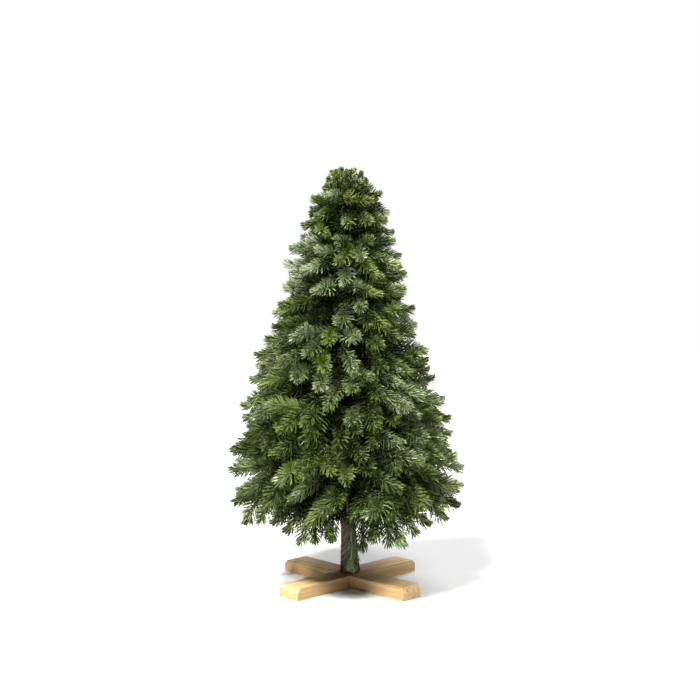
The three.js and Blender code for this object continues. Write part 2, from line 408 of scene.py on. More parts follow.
class Recipe:
    """A Geometry Nodes tree under construction, and the way to run it on a mesh."""

    def __init__(self, name: str, inputs: dict[str, str]) -> None:
        """Starts a tree.

        Args:
            name: the tree's name.
            inputs: each input's name and socket type, after the geometry.
        """
        self.tree = bpy.data.node_groups.new(name, "GeometryNodeTree")
        face = self.tree.interface
        face.new_socket("Geometry", in_out="INPUT", socket_type="NodeSocketGeometry")
        self.sockets = {
            label: face.new_socket(label, in_out="INPUT", socket_type=kind).identifier
            for label, kind in inputs.items()
        }
        face.new_socket("Geometry", in_out="OUTPUT", socket_type="NodeSocketGeometry")
        self.given = self.tree.nodes.new("NodeGroupInput")

    def node(self, kind: str, links: dict | None = None, **settings: object) -> bpy.types.Node:
        """Adds a node.

        Args:
            kind: the node's type.
            links: for each input, by name or number, the output that feeds it or a plain value.
            settings: properties of the node itself.

        Returns:
            The node.
        """
        made = self.tree.nodes.new(kind)
        for key, value in settings.items():
            setattr(made, key, value)
        for key, value in (links or {}).items():
            if isinstance(value, bpy.types.NodeSocket):
                self.tree.links.new(value, made.inputs[key])
            else:
                made.inputs[key].default_value = value
        return made

    def named(self, name: str, data_type: str = "FLOAT") -> bpy.types.NodeSocket:
        """Reads a named value of the geometry.

        Args:
            name: the value's name.
            data_type: its type.

        Returns:
            The output that carries it.
        """
        reader = self.node("GeometryNodeInputNamedAttribute", {"Name": name}, data_type=data_type)
        return reader.outputs["Attribute"]

    def maths(self, operation: str, *values: object) -> bpy.types.NodeSocket:
        """One step of arithmetic on numbers.

        Args:
            operation: the Math node's operation.
            values: outputs or plain numbers.

        Returns:
            The result's output.
        """
        links = dict(enumerate(values))
        return self.node("ShaderNodeMath", links, operation=operation).outputs[0]

    def scattered(
        self, shape: bpy.types.NodeSocket, size: bpy.types.NodeSocket
    ) -> bpy.types.NodeSocket:
        """Sets a shape on every point, its +Z along the value "lie" and its +Y towards "face".

        Args:
            shape: the output that holds the shape's object.
            size: the output with its size.

        Returns:
            The output with the shapes, made real.
        """
        source = self.node("GeometryNodeObjectInfo", {"Object": shape})
        lie, face = self.named("lie", "FLOAT_VECTOR"), self.named("face", "FLOAT_VECTOR")
        turn = self.node(
            "FunctionNodeAxesToRotation",
            {"Primary Axis": lie, "Secondary Axis": face},
            primary_axis="Z",
            secondary_axis="Y",
        )
        spread = self.node(
            "GeometryNodeInstanceOnPoints",
            {
                "Points": self.given.outputs["Geometry"],
                "Instance": source.outputs["Geometry"],
                "Rotation": turn.outputs[0],
                "Scale": size,
            },
        )
        return self.node("GeometryNodeRealizeInstances", {"Geometry": spread.outputs[0]}).outputs[0]

    def end(self, geometry: bpy.types.NodeSocket) -> None:
        """Closes the tree with the geometry that it puts out."""
        self.node("NodeGroupOutput", {"Geometry": geometry})

    def run(self, name: str, mesh: bpy.types.Mesh, values: dict[str, object]) -> bpy.types.Object:
        """Runs the tree on a mesh and keeps the result as a plain mesh.

        Args:
            name: the new object's name.
            mesh: the mesh that the tree starts from.
            values: a value for each of the tree's inputs.

        Returns:
            The finished object, with no modifier.
        """
        holder = new_object(f"{name}_source", mesh)
        modifier = holder.modifiers.new("grow", "NODES")
        modifier.node_group = self.tree
        for label, value in values.items():
            modifier[self.sockets[label]] = value
        holder.update_tag()
        graph = bpy.context.evaluated_depsgraph_get()
        result = bpy.data.meshes.new_from_object(holder.evaluated_get(graph))
        bpy.data.objects.remove(holder)
        bpy.data.meshes.remove(mesh)
        for extra in [a.name for a in result.attributes if a.name in CARRIED]:
            result.attributes.remove(result.attributes[extra])
        return new_object(name, result)


def limb_recipe() -> Recipe:
    """Builds the tree that gives polylines a round, knotty skin.

    Returns:
        The tree, with inputs Sides, Step, Relief, Fineness and Bark.
    """
    made = Recipe(
        "bark_limb",
        {
            "Sides": "NodeSocketInt",
            "Step": "NodeSocketFloat",
            "Relief": "NodeSocketFloat",
            "Fineness": "NodeSocketFloat",
            "Bark": "NodeSocketMaterial",
        },
    )
    given = made.given.outputs
    line = made.node("GeometryNodeMeshToCurve", {"Mesh": given["Geometry"]})
    spaced = made.node(
        "GeometryNodeResampleCurve", {"Curve": line.outputs[0], "Length": given["Step"]}, mode="LENGTH"
    )
    ring = made.node("GeometryNodeCurvePrimitiveCircle", {"Resolution": given["Sides"], "Radius": 1.0})
    tube = made.node(
        "GeometryNodeCurveToMesh",
        {
            "Curve": spaced.outputs[0],
            "Profile Curve": ring.outputs[0],
            "Scale": made.named("thickness"),
            "Fill Caps": True,
        },
    )
    place = made.node("GeometryNodeInputPosition").outputs[0]
    squeezed = made.node("ShaderNodeVectorMath", {0: place, 1: (1.0, 1.0, 0.4)}, operation="MULTIPLY")
    noise = made.node(
        "ShaderNodeTexNoise", {"Vector": squeezed.outputs[0], "Scale": given["Fineness"], "Detail": 4.0}
    )
    height = made.maths("MULTIPLY", made.maths("SUBTRACT", noise.outputs["Fac"], 0.55), given["Relief"])
    normal = made.node("GeometryNodeInputNormal").outputs[0]
    push = made.node("ShaderNodeVectorMath", {0: normal, "Scale": height}, operation="SCALE")
    moved = made.node(
        "GeometryNodeSetPosition", {"Geometry": tube.outputs[0], "Offset": push.outputs[0]}
    )
    real = made.node("GeometryNodeRealizeInstances", {"Geometry": moved.outputs[0]})
    dressed = made.node(
        "GeometryNodeSetMaterial", {"Geometry": real.outputs[0], "Material": given["Bark"]}
    )
    made.end(dressed.outputs[0])
    return made


def needle_recipe() -> Recipe:
    """Builds the tree that sets a curved needle on every point.

    Returns:
        The tree, with inputs Needle, Width and Thickness.
    """
    made = Recipe(
        "needle_spray",
        {"Needle": "NodeSocketObject", "Width": "NodeSocketFloat", "Thickness": "NodeSocketFloat"},
    )
    given = made.given.outputs
    size = made.node(
        "ShaderNodeCombineXYZ",
        {"X": given["Width"], "Y": given["Thickness"], "Z": made.named("length")},
    )
    current = made.scattered(given["Needle"], size.outputs[0])
    reach = made.maths("MULTIPLY", made.named("bend"), made.named("length"))
    sweep = made.maths("MULTIPLY", reach, made.maths("POWER", made.named("along"), 2.0))
    push = made.node(
        "ShaderNodeVectorMath",
        {0: made.named("face", "FLOAT_VECTOR"), "Scale": sweep},
        operation="SCALE",
    )
    current = made.node(
        "GeometryNodeSetPosition", {"Geometry": current, "Offset": push.outputs[0]}
    ).outputs[0]
    kind = made.maths("MULTIPLY", made.named("tint", "INT"), 2.0)
    kind = made.maths("ADD", kind, made.named("underside"))
    for number, tint in enumerate(Tint):
        for underside in (False, True):
            chosen = made.maths("COMPARE", kind, 2.0 * number + underside, 0.1)
            skin = tint.finish(underside).material()
            current = made.node(
                "GeometryNodeSetMaterial",
                {"Geometry": current, "Selection": chosen, "Material": skin},
            ).outputs[0]
    made.end(current)
    return made


def bud_recipe() -> Recipe:
    """Builds the tree that sets a bud on every point.

    Returns:
        The tree, with inputs Bud and Skin.
    """
    made = Recipe("resting_bud", {"Bud": "NodeSocketObject", "Skin": "NodeSocketMaterial"})
    given = made.given.outputs
    real = made.scattered(given["Bud"], made.named("length"))
    dressed = made.node("GeometryNodeSetMaterial", {"Geometry": real, "Material": given["Skin"]})
    made.end(dressed.outputs[0])
    return made


# ---------------------------------------------------------------- trunk and boughs


@dataclass
class Trunk:
    """The trunk, with bark relief in place of the CAD cone.

    Attributes:
        node: the CAD node that it stands for.
        relief: depth of the bark.
        levels: how many heights its middle and radius are read at.
        middles: its middle at each level, from the foot up.
        radii: its radius at each level.
    """

    node: str = "trunk"
    relief: float = 0.0032
    levels: int = 36
    middles: np.ndarray = field(init=False)
    radii: np.ndarray = field(init=False)

    def __post_init__(self) -> None:
        """Reads the CAD trunk's middle and radius at each level."""
        corners = triangles_of(self.node)
        points = corners.reshape(-1, 3)
        foot, tip = points[:, 2].min(), points[:, 2].max()
        heights = np.linspace(foot, tip - 0.002, self.levels)
        rings = [self._ring(corners, z) for z in heights]
        self.middles = np.array([(*middle, z) for (middle, _), z in zip(rings, heights)])
        self.radii = np.array([radius for _, radius in rings])

    @staticmethod
    def _ring(corners: np.ndarray, z: float) -> tuple[np.ndarray, float]:
        """Cuts the triangles at a height.

        Args:
            corners: the trunk's triangles.
            z: the height of the cut.

        Returns:
            The middle of the cut, and its radius.
        """
        cuts = []
        for first, second in ((0, 1), (1, 2), (2, 0)):
            a, b = corners[:, first], corners[:, second]
            crosses = (a[:, 2] - z) * (b[:, 2] - z) <= 0
            a, b = a[crosses], b[crosses]
            share = (z - a[:, 2]) / np.where(np.abs(b[:, 2] - a[:, 2]) < 1e-9, 1.0, b[:, 2] - a[:, 2])
            cuts.append(a[:, :2] + np.clip(share, 0, 1)[:, None] * (b - a)[:, :2])
        cut = np.concatenate(cuts)
        low, high = cut.min(axis=0), cut.max(axis=0)
        return (low + high) / 2, float((high - low).mean() / 2)

    def middle_at(self, z: float) -> np.ndarray:
        """The trunk's middle at a height."""
        return np.array([np.interp(z, self.middles[:, 2], self.middles[:, i]) for i in (0, 1)] + [z])

    def outward(self, place: np.ndarray) -> np.ndarray:
        """The level vector from the trunk's middle to a place."""
        return (place - self.middle_at(place[2])) * LEVEL

    def radius_at(self, z: float) -> float:
        """The trunk's radius at a height."""
        return float(np.interp(z, self.middles[:, 2], self.radii))

    def build(self, recipe: Recipe, bark: bpy.types.Material) -> None:
        """Builds the trunk with its bark.

        Args:
            recipe: the tree for limbs.
            bark: the bark's material.
        """
        edges = np.array([(i, i + 1) for i in range(self.levels - 1)])
        mesh = cloud_mesh("trunk_line", self.middles, edges, {"thickness": self.radii})
        values = {"Sides": 44, "Step": 0.0028, "Relief": self.relief, "Fineness": 330.0, "Bark": bark}
        finish_piece(recipe.run("trunk_bark", mesh, values), "bark", self.node)


@dataclass
class Boughs:
    """The main boughs of the lowest tiers, with bark relief.

    Attributes:
        trunk: the trunk that they leave.
        relief: depth of the bark.
        levels: how many places along a bough its middle and radius are read at.
        end_corners: how many corners mark either end of a bough.
        ring_corners: how many corners mark its thickness at a place.
        lines: each bough's node, with its middle line and radii from the trunk outwards.
    """

    trunk: Trunk
    relief: float = 0.0016
    levels: int = 6
    end_corners: int = 24
    ring_corners: int = 16
    lines: dict[str, Line] = field(default_factory=dict)

    def __post_init__(self) -> None:
        """Reads the line of each CAD bough."""
        for name in nodes_named("bough_"):
            self.lines[name] = self._line(triangles_of(name).reshape(-1, 3))

    def _line(self, points: np.ndarray) -> Line:
        """Finds a bough's middle line.

        Args:
            points: the bough's corners.

        Returns:
            The line's points from the trunk outwards, and the radius at each.
        """
        outward = points[:, :2] - self.trunk.middle_at(float(points[:, 2].mean()))[:2]
        away = np.linalg.norm(outward, axis=1)
        order = np.argsort(away)
        near = points[order[: self.end_corners]].mean(axis=0)
        far = points[order[-self.end_corners :]].mean(axis=0)
        axis = unit(far - near)
        along = (points - near) @ axis
        steps = np.linspace(along.min(), along.max(), self.levels)
        line, radii = [], []
        for step in steps:
            close = np.argsort(np.abs(along - step))[: self.ring_corners]
            middle = (points[close].min(axis=0) + points[close].max(axis=0)) / 2
            middle += axis * (step - (middle - near) @ axis)
            spread = points[close] - near - np.outer(along[close], axis)
            line.append(middle)
            radii.append((spread.max(axis=0) - spread.min(axis=0)).max() / 2)
        return np.array(line), np.array(radii)

    def end_of(self, mass: str) -> tuple[np.ndarray, float] | None:
        """Where the bough that carries a mass ends.

        Args:
            mass: the mass's name.

        Returns:
            The bough's end and its radius there, or nothing where no bough carries the mass.
        """
        found = self.lines.get(mass.replace("foliage", "bough"))
        return None if found is None else (found[0][-1], float(found[1][-1]))

    def build(self, recipe: Recipe, bark: bpy.types.Material) -> None:
        """Builds all the boughs as one piece.

        Args:
            recipe: the tree for limbs.
            bark: the bark's material.
        """
        mesh = polylines("bough_lines", list(self.lines.values()))
        values = {"Sides": 18, "Step": 0.002, "Relief": self.relief, "Fineness": 420.0, "Bark": bark}
        finish_piece(recipe.run("bough_bark", mesh, values), "bark", *self.lines)


def polylines(name: str, lines: list[Line]) -> bpy.types.Mesh:
    """Makes one mesh of many separate lines.

    Args:
        name: the mesh's name.
        lines: each line's points, and the radius at each.

    Returns:
        The mesh, with its radii as the value "thickness".
    """
    points = np.concatenate([line for line, _ in lines])
    radii = np.concatenate([radius for _, radius in lines])
    edges, start = [], 0
    for line, _ in lines:
        edges += [(start + i, start + i + 1) for i in range(len(line) - 1)]
        start += len(line)
    return cloud_mesh(name, points, np.array(edges), {"thickness": radii})


# ---------------------------------------------------------------- the crown's growth


@dataclass(frozen=True)
class Habit:
    """How one kind of shoot is dressed with needles.

    Attributes:
        density: needles a metre, at the crown's foot and at its top.
        needle: length of its longest needles, at the crown's foot and at its top.
        spread: angle between the needles and the twig, in degrees.
        lift: how far the needles are swept to the upper side, from 0.
    """

    density: tuple[float, float]
    needle: tuple[float, float]
    spread: float
    lift: float

    @staticmethod
    def at(ends: tuple[float, float], share: float) -> float:
        """A value between its two ends, by the share of the crown's height."""
        return ends[0] + (ends[1] - ends[0]) * share


CROWN_HABIT = Habit((1950.0, 1700.0), (0.0285, 0.0202), 62.0, 0.35)
TIP_HABIT = Habit((1500.0, 1500.0), (0.0145, 0.0145), 64.0, 0.1)
CORE_HABIT = Habit((740.0, 740.0), (0.029, 0.029), 64.0, 0.1)
LOW_HABIT = Habit((2000.0, 2000.0), (0.027, 0.027), 60.0, 0.2)
THIN_HABIT = Habit((700.0, 700.0), (0.027, 0.027), 60.0, 0.2)


@dataclass
class Shoot:
    """One shoot: a twig that carries needles on its outer part.

    Attributes:
        path: its line, from the limb to its tip.
        tint: the colour of its needles.
        group: the word by which its needles are gathered into a piece.
        leafed: the length that carries needles.
        density: needles a metre.
        needle: length of its longest needles.
        spread: angle between the needles and the twig, in radians.
        lift: how far the needles are swept to the upper side, from 0.
    """

    path: np.ndarray
    tint: Tint
    group: str
    leafed: float
    density: float
    needle: float
    spread: float
    lift: float


@dataclass(frozen=True)
class Patch:
    """A part of the crown whose sprays share a colour.

    Attributes:
        height: its middle, as a share of the crown's height.
        azimuth: the way it faces, in degrees from +X.
        size: its radius, in metres.
        tint: the colour.
        share: the share of its sprays that have the colour.
    """

    height: float
    azimuth: float
    size: float
    tint: Tint
    share: float


@dataclass(frozen=True)
class Hollow:
    """A dark opening between sprays.

    Attributes:
        height: its middle, as a share of the crown's height.
        azimuth: the way it faces, in degrees from +X.
        radius: its radius, in metres.
    """

    height: float
    azimuth: float
    radius: float


@dataclass(frozen=True)
class LimbRule:
    """How the limbs inside a mass grow and fork.

    Attributes:
        wide: the width from which a mass has three limbs, not two.
        three: how far aside each of three limbs ends, as a share of the mass's width.
        two: the same for two limbs.
        rise: how far a limb arches up.
        short: how far it ends inside the mass's outer side, and how much more for each share aside.
        start_radius: its greatest radius where it leaves the trunk.
        side_radius: a side limb's radius, as a share of its bough's.
        end_radius: its radius at its end.
        leader_radii: the radii of the leader in the crown's blunt tip, at its start and end.
    """

    wide: float = 0.12
    three: tuple[float, ...] = (-0.34, 0.0, 0.34)
    two: tuple[float, ...] = (-0.2, 0.2)
    rise: float = 0.012
    short: tuple[float, float] = (0.028, 0.05)
    start_radius: float = 0.003
    side_radius: float = 0.85
    end_radius: float = 0.0018
    leader_radii: tuple[float, float] = (0.0035, 0.0022)


@dataclass(frozen=True)
class CoreRule:
    """How the old shoots grow that close the inside of the crown; their near-black tint is painted
    shade.

    Attributes:
        count: how many there are.
        foot: from the crown's foot to the lowest one.
        top: from the highest one to the crown's top.
        even: added to the crown's radius where they are shared out over its height.
        wander: spread of the way that they face, in radians.
        reach: how far they reach, as a share of the crown's radius, least and most.
        droop: how far their ends sink, as a share of their reach, least and most.
        clearance: least height of their ends over the crown's foot.
        leafed: the share of their reach that carries needles.
    """

    count: int = 430
    foot: float = 0.030
    top: float = 0.050
    even: float = 0.09
    wander: float = 0.15
    reach: tuple[float, float] = (0.50, 0.74)
    droop: tuple[float, float] = (0.05, 0.45)
    clearance: float = 0.015
    leafed: float = 0.80


@dataclass(frozen=True)
class ShootRule:
    """How the crown's outer shoots grow.

    Attributes:
        slope: their slope at the crown's foot, in degrees.
        slope_gain: by how many degrees it rises up to the crown's top.
        slope_wander: spread of the slope from shoot to shoot, in degrees.
        swing_wander: spread of the way that they face, in degrees.
        tip_wander: spread of the way that shoots of the blunt tip point.
        lean_out: pull of a mass's own surface on their way, on its upper side and on its underside.
        reach: the length at which a shoot leaves its limb best.
        strain: cost of a turn at its end, and cost of a turn where it leaves the limb.
        leafed: the length that carries needles, least and most.
        tip_leafed: the same length on the crown's blunt tip.
        bare: least length without needles at a shoot's start.
        needle_size: factor on its needles' length, least and most.
        spread_wander: spread of the angle of its needles, in degrees.
        open_share: the part of a hollow's radius that no shoot may cross.
        outer_points: from which point of its path a shoot is kept out of the hollows.
    """

    slope: float = -36.0
    slope_gain: float = 30.0
    slope_wander: float = 14.0
    swing_wander: float = 34.0
    tip_wander: float = 0.10
    lean_out: tuple[float, float] = (0.35, 0.12)
    reach: float = 0.085
    strain: tuple[float, float] = (1.2, 0.6)
    leafed: tuple[float, float] = (0.082, 0.104)
    tip_leafed: float = 0.030
    bare: float = 0.004
    needle_size: tuple[float, float] = (0.90, 1.06)
    spread_wander: float = 5.0
    open_share: float = 0.75
    outer_points: int = 7


PATH_POINTS = {"leader": 10, "core": 12, "limb": 14, "shoot": 16, "low": 18}


@dataclass
class Growth:
    """The rule by which limbs and shoots fill the masses of foliage.

    Attributes:
        trunk: the trunk.
        boughs: the main boughs.
        seed: seed of every draw.
        spacing: distance between the tips of neighbouring shoots, low and high in the crown.
        tip_spacing: the same distance on the crown's blunt tip.
        apart: the least distance to another mass's tips, as a share of a mass's own spacing.
        tries: how many places on a mass are tried for a tip.
        overhang: how far the last needles reach past a shoot's own tip.
        tip_inset: how much further the blunt tip's shoots are drawn in, least and most.
        fill: how far tips in the folds between masses are moved out to the crown's slope.
        tuck: how far the lowest tips are drawn back in.
        inside: the share of the crown's radius within which a tip stays where it is.
        skirt: heights, as shares of the crown's, between which the drawing in fades out.
        limb_rule: how limbs grow.
        core_rule: how the old shoots inside the crown grow.
        shoot_rule: how the outer shoots grow.
        patches: parts of the crown with a colour of their own; the FROST ones high on the front left
            are painted light.
        hollows: dark openings between sprays.
        low_sprays: for each spray of a low bunch, how far aside it hangs and how far it stays up.
        front_sprays: the same for the bunch at the front, whose first spray is thin.
        shoots: every shoot grown so far.
        limbs: every limb grown so far, with its radii.
    """

    trunk: Trunk
    boughs: Boughs
    seed: int = 11
    spacing: tuple[float, float] = (0.047, 0.030)
    tip_spacing: float = 0.0135
    apart: float = 0.72
    tries: int = 700
    overhang: float = 0.005
    tip_inset: tuple[float, float] = (0.004, 0.012)
    fill: float = 0.6
    tuck: float = 0.020
    inside: float = 0.6
    skirt: tuple[float, float] = (0.02, 0.13)
    limb_rule: LimbRule = LimbRule()
    core_rule: CoreRule = CoreRule()
    shoot_rule: ShootRule = ShootRule()
    patches: tuple[Patch, ...] = (
        Patch(0.76, -82, 0.030, Tint.GREY, 0.9),
        # painted light: the FROST patches high on the front left brighten the lit side
        Patch(0.73, -140, 0.050, Tint.FROST, 0.6),
        Patch(0.66, -109, 0.042, Tint.FROST, 0.7),
        Patch(0.60, -139, 0.035, Tint.FRESH, 0.6),
        Patch(0.70, -50, 0.050, Tint.FRESH, 0.6),
        Patch(0.60, -47, 0.060, Tint.FRESH, 0.75),
        Patch(0.80, -39, 0.035, Tint.OLIVE, 0.8),
        Patch(0.84, 98, 0.060, Tint.OLIVE, 0.5),
        Patch(0.37, -84, 0.050, Tint.GREY, 0.8),
        Patch(0.33, -69, 0.050, Tint.FROST, 0.45),
        Patch(0.29, -121, 0.025, Tint.FRESH, 0.9),
        Patch(0.26, -127, 0.060, Tint.LEAF, 0.7),
        Patch(0.13, -95, 0.030, Tint.OLIVE, 0.9),
        # painted light on the lit front left
        Patch(0.62, -150, 0.055, Tint.FROST, 0.5),
        Patch(0.99, -90, 0.060, Tint.OLIVE, 0.40),
    )
    hollows: tuple[Hollow, ...] = (
        Hollow(0.83, -107, 0.017),
        Hollow(0.70, -101, 0.015),
        Hollow(0.64, -89, 0.016),
        Hollow(0.615, -124, 0.013),
        Hollow(0.56, -109, 0.023),
        Hollow(0.385, -135, 0.019),
        Hollow(0.43, -111, 0.017),
        Hollow(0.43, -92, 0.017),
        Hollow(0.33, -106, 0.017),
        Hollow(0.285, -102, 0.017),
    )
    low_sprays: tuple[tuple[float, float], ...] = (
        (0.0, 0.004),
        (-0.022, 0.020),
        (0.022, 0.008),
        (0.045, 0.016),
        (-0.044, 0.030),
    )
    front_sprays: tuple[tuple[float, float], ...] = (
        (0.0, 0.0),
        (-0.034, 0.050),
        (0.034, 0.050),
        (0.018, 0.034),
    )
    shoots: list[Shoot] = field(default_factory=list)
    limbs: list[Line] = field(default_factory=list)

    def __post_init__(self) -> None:
        """Reads the crown's height and its radius at each level, and starts the draws."""
        self.rng = np.random.default_rng(self.seed)
        self.masses = nodes_named("foliage_tier") + ["foliage_tip"]
        self.low = min(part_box(name)[0][2] for name in self.masses)
        self.high = max(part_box(name)[1][2] for name in self.masses)
        self.tips: list[np.ndarray] = []
        points = np.concatenate([triangles_of(name).reshape(-1, 3) for name in self.masses])
        away = np.array([np.linalg.norm((p - self.trunk.middle_at(p[2]))[:2]) for p in points])
        self.heights = np.linspace(self.low, self.high, 16)
        bands = [away[np.abs(points[:, 2] - z) < 0.022] for z in self.heights]
        radii = np.array([np.quantile(band, 0.93) for band in bands])
        self.radii = np.convolve(np.pad(radii, 1, "edge"), [0.25, 0.5, 0.25], "valid")

    def share_of(self, z: float) -> float:
        """A height as a share of the crown's."""
        return (z - self.low) / (self.high - self.low)

    def all_masses(self) -> list[str]:
        """Every mass of foliage, the hanging sprays included."""
        return self.masses + nodes_named("hanging_spray")

    @staticmethod
    def group_of(mass: str) -> str:
        """The word by which a mass's shoots are gathered into a piece."""
        return mass.replace("foliage_", "").replace("_spray", "")

    def grow(self) -> None:
        """Fills every mass, hangs the low sprays and closes the inside."""
        for name in self.masses:
            self._fill(name)
        for name in nodes_named("hanging_spray"):
            self._hang(name)
        self._core()

    def _add(self, path: np.ndarray, tint: Tint, group: str, leafed: float, habit: Habit) -> None:
        """Adds a shoot dressed just as its habit says.

        Args:
            path: its line.
            tint: the colour of its needles.
            group: the word by which its needles are gathered into a piece.
            leafed: the length that carries needles.
            habit: its habit, read at the crown's foot.
        """
        spread = math.radians(habit.spread)
        shoot = Shoot(path, tint, group, leafed, habit.density[0], habit.needle[0], spread, habit.lift)
        self.shoots.append(shoot)

    def _fill(self, name: str) -> None:
        """Fills one mass with limbs and shoots.

        Args:
            name: the mass's name.
        """
        corners = triangles_of(name)
        is_tip = name == "foliage_tip"
        limbs = self._tip_limbs(corners) if is_tip else self._limbs(name, corners)
        self.limbs += limbs
        share = self.share_of(corners.reshape(-1, 3).mean(axis=0)[2])
        spacing = self.tip_spacing if is_tip else float(np.interp(share, (0, 1), self.spacing))
        for tip, normal in self._targets(corners, spacing, is_tip):
            self._shoot(name, tip if is_tip else self._filled_out(tip), normal, limbs, is_tip)

    def _filled_out(self, tip: np.ndarray) -> np.ndarray:
        """Moves a tip that lies in a fold between masses part of the way out to the crown's slope.

        Args:
            tip: the tip's place on a mass.

        Returns:
            Its new place.
        """
        level = self.trunk.outward(tip)
        away = np.linalg.norm(level)
        radius = np.interp(tip[2], self.heights, self.radii)
        if away < self.inside * radius:
            return tip
        drawn_in = self.tuck * (1 - smooth(*self.skirt, self.share_of(tip[2])))
        return tip + unit(level) * (max(0.0, radius - away) * self.fill - drawn_in)

    def _core(self) -> None:
        """Grows old shoots from the trunk, which close the inside of the crown, in a near-black tint
        that is painted shade.
        """
        rule = self.core_rule
        heights = np.linspace(self.low + rule.foot, self.high - rule.top, 400)
        run = np.cumsum(np.interp(heights, self.heights, self.radii) + rule.even)
        middles = np.array([np.mean(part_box(name), axis=0) for name in self.masses])
        levels = np.interp((np.arange(rule.count) + 0.5) / rule.count * run[-1], run, heights)
        for number, z in enumerate(levels):
            azimuth = number * GOLDEN_ANGLE + self.rng.normal(0, rule.wander)
            out = np.array([math.cos(azimuth), math.sin(azimuth), 0.0])
            start = self.trunk.middle_at(z)
            reach = np.interp(z, self.heights, self.radii) * self.rng.uniform(*rule.reach)
            end = start + out * reach - UP * reach * self.rng.uniform(*rule.droop)
            end[2] = max(end[2], self.low + rule.clearance)
            leave, arrive = start + out * reach * 0.4, end - out * reach * 0.3
            path = bezier([start, leave, arrive, end], PATH_POINTS["core"])
            nearest = self.masses[int(np.linalg.norm(middles - end, axis=1).argmin())]
            # the near-black tint is painted shade inside the crown
            self._add(path, Tint.DEEP, self.group_of(nearest), reach * rule.leafed, CORE_HABIT)

    def _tip_limbs(self, corners: np.ndarray) -> list[Line]:
        """Grows the leader that carries the crown's blunt tip.

        Args:
            corners: the tip's triangles.

        Returns:
            Its line and radii, alone in a list.
        """
        start = self.trunk.middle_at(self.trunk.middles[-1, 2] - 0.05)
        end = np.array([start[0], start[1], corners[:, :, 2].max() - 0.03])
        line = bezier([start, start + UP * 0.02, end - UP * 0.02, end], PATH_POINTS["leader"])
        return [(line, np.linspace(*self.limb_rule.leader_radii, len(line)))]

    def _limbs(self, name: str, corners: np.ndarray) -> list[Line]:
        """Grows the forked limbs inside a mass, on from its bough or from the trunk.

        Args:
            name: the mass's name.
            corners: its triangles.

        Returns:
            Each limb's line and radii.
        """
        rule = self.limb_rule
        points = corners.reshape(-1, 3)
        out = unit(self.trunk.outward(points.mean(axis=0)))
        along = points @ out
        side_way = np.cross(UP, out)
        side = points @ side_way
        inner = points[along < np.quantile(along, 0.15)].mean(axis=0)
        far = points[along > np.quantile(along, 0.85)].mean(axis=0)
        held = self.boughs.end_of(name)
        if held is None:
            start = self.trunk.middle_at(inner[2])
            radius = min(rule.start_radius, self.trunk.radius_at(inner[2]) * 0.5)
        else:
            start, radius = held
        width = side.max() - side.min()
        rise = UP * rule.rise
        limbs = []
        for fork in rule.three if width > rule.wide else rule.two:
            end = far + side_way * fork * width - out * (rule.short[0] + rule.short[1] * abs(fork))
            span = np.linalg.norm(end - start)
            leave = start + out * span * 0.35 + rise
            arrive = end - out * span * 0.3 + rise + side_way * fork * 0.02
            line = bezier([start, leave, arrive, end], PATH_POINTS["limb"])
            thick = radius * (1.0 if fork == 0 else rule.side_radius)
            limbs.append((line, np.linspace(thick, rule.end_radius, len(line))))
        return limbs

    def _exposure(self, corners: np.ndarray, normals: np.ndarray, is_tip: bool) -> np.ndarray:
        """How open each triangle of a mass lies to the outside of the crown.

        Args:
            corners: the mass's triangles.
            normals: their directions.
            is_tip: whether the mass is the crown's blunt tip.

        Returns:
            A weight for each triangle, 0 where no shoot ends.
        """
        middles = corners.mean(axis=1)
        axis = np.array([self.trunk.middle_at(z) for z in middles[:, 2]])
        outward = unit((middles - axis) * LEVEL)
        facing = (normals * outward).sum(axis=1)
        if is_tip:
            return np.clip(normals @ UP + 0.8 * facing + 0.1, 0, 1)
        away = np.linalg.norm((middles - axis)[:, :2], axis=1)
        outer = smooth(0.35, 0.8, (away - away.min()) / (away.max() - away.min()))
        above, below = np.clip(normals[:, 2], 0, 1), np.clip(-normals[:, 2], 0, 1)
        exposure = np.clip(facing, 0, 1) + 0.55 * above * outer
        exposure += 0.6 * below * outer
        if middles[:, 2].min() < self.low + 0.05:
            exposure += 0.8 * below
        return exposure

    def _targets(self, corners: np.ndarray, spacing: float, is_tip: bool) -> list[Ray]:
        """Spreads shoot tips evenly over the outer side of a mass.

        Args:
            corners: the mass's triangles.
            spacing: the least distance between tips.
            is_tip: whether the mass is the crown's blunt tip.

        Returns:
            Each tip's place on the surface, and the surface's direction there.
        """
        edges = np.cross(corners[:, 1] - corners[:, 0], corners[:, 2] - corners[:, 0])
        normals = unit(edges)
        weight = np.linalg.norm(edges, axis=1) / 2 * self._exposure(corners, normals, is_tip)
        picks = self.rng.choice(len(corners), size=self.tries, p=weight / weight.sum())
        a, b = self.rng.random((2, self.tries, 1))
        flip = (a + b) > 1
        a, b = np.where(flip, 1 - a, a), np.where(flip, 1 - b, b)
        one, two, three = (corners[picks, corner] for corner in range(3))
        places = one + a * (two - one) + b * (three - one)
        found: list[Ray] = []
        own: list[np.ndarray] = []
        rules = ((own, spacing), (self.tips, spacing * self.apart))
        for place, normal in zip(places, normals[picks]):
            is_free = all(self._is_clear(place, others, gap) for others, gap in rules)
            if is_free and not self._in_hollow(place):
                own.append(place)
                found.append((place, normal))
        self.tips += own
        return found

    @staticmethod
    def _is_clear(place: np.ndarray, others: list[np.ndarray], gap: float) -> bool:
        """Whether a place keeps its distance from all the others."""
        return not others or np.linalg.norm(np.array(others) - place, axis=1).min() >= gap

